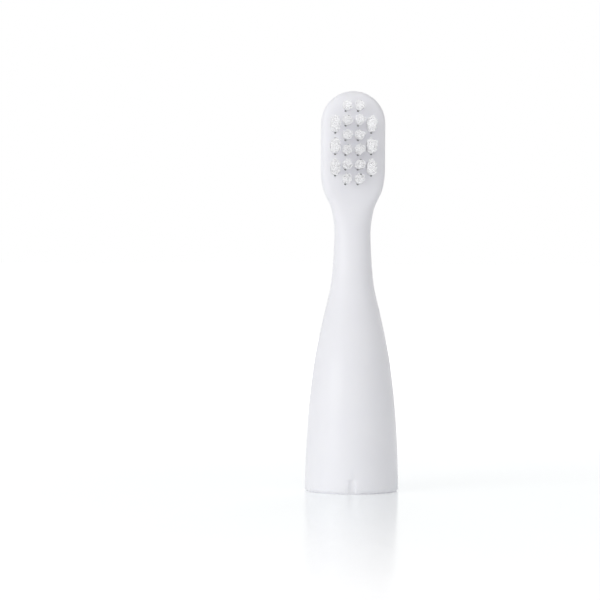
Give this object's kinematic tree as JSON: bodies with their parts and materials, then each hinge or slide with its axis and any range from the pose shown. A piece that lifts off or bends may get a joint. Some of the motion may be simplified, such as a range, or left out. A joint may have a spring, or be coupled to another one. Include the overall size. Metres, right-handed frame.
{
  "type": "electric toothbrush head",
  "caption": "Push-on brush head: round hollow skirt with a drive socket, slim offset neck and a round-topped head carrying short inner and longer outer bristle tufts.",
  "frame": {"origin": "centre of the round skirt mouth, in the plane of the rim that the head stands on", "axes": "+Z from the rim to the head, -Y out of the bristle face, X across the head"},
  "size_m": [0.015, 0.015, 0.0643],
  "materials": {
    "body_plastic": "satin-gloss white moulded plastic",
    "bristle_nylon": "translucent white nylon filament with rounded ends",
    "anchor_metal": "plain rolled strip of a grey alloy"
  },
  "bodies": {
    "root": {"brush_body": "body_plastic", "inner_tuft_left_1": "bristle_nylon", "inner_tuft_left_2": "bristle_nylon", "inner_tuft_left_3": "bristle_nylon", "inner_tuft_left_4": "bristle_nylon", "inner_tuft_left_5": "bristle_nylon", "inner_tuft_left_6": "bristle_nylon", "inner_tuft_right_1": "bristle_nylon", "inner_tuft_right_2": "bristle_nylon", "inner_tuft_right_3": "bristle_nylon", "inner_tuft_right_4": "bristle_nylon", "inner_tuft_right_5": "bristle_nylon", "inner_tuft_right_6": "bristle_nylon", "outer_tuft_left_1": "bristle_nylon", "outer_tuft_left_2": "bristle_nylon", "outer_tuft_left_3": "bristle_nylon", "outer_tuft_right_1": "bristle_nylon", "outer_tuft_right_2": "bristle_nylon", "outer_tuft_right_3": "bristle_nylon", "inner_tuft_anchors": "anchor_metal", "outer_tuft_anchors": "anchor_metal"}
  },
  "joints": []
}
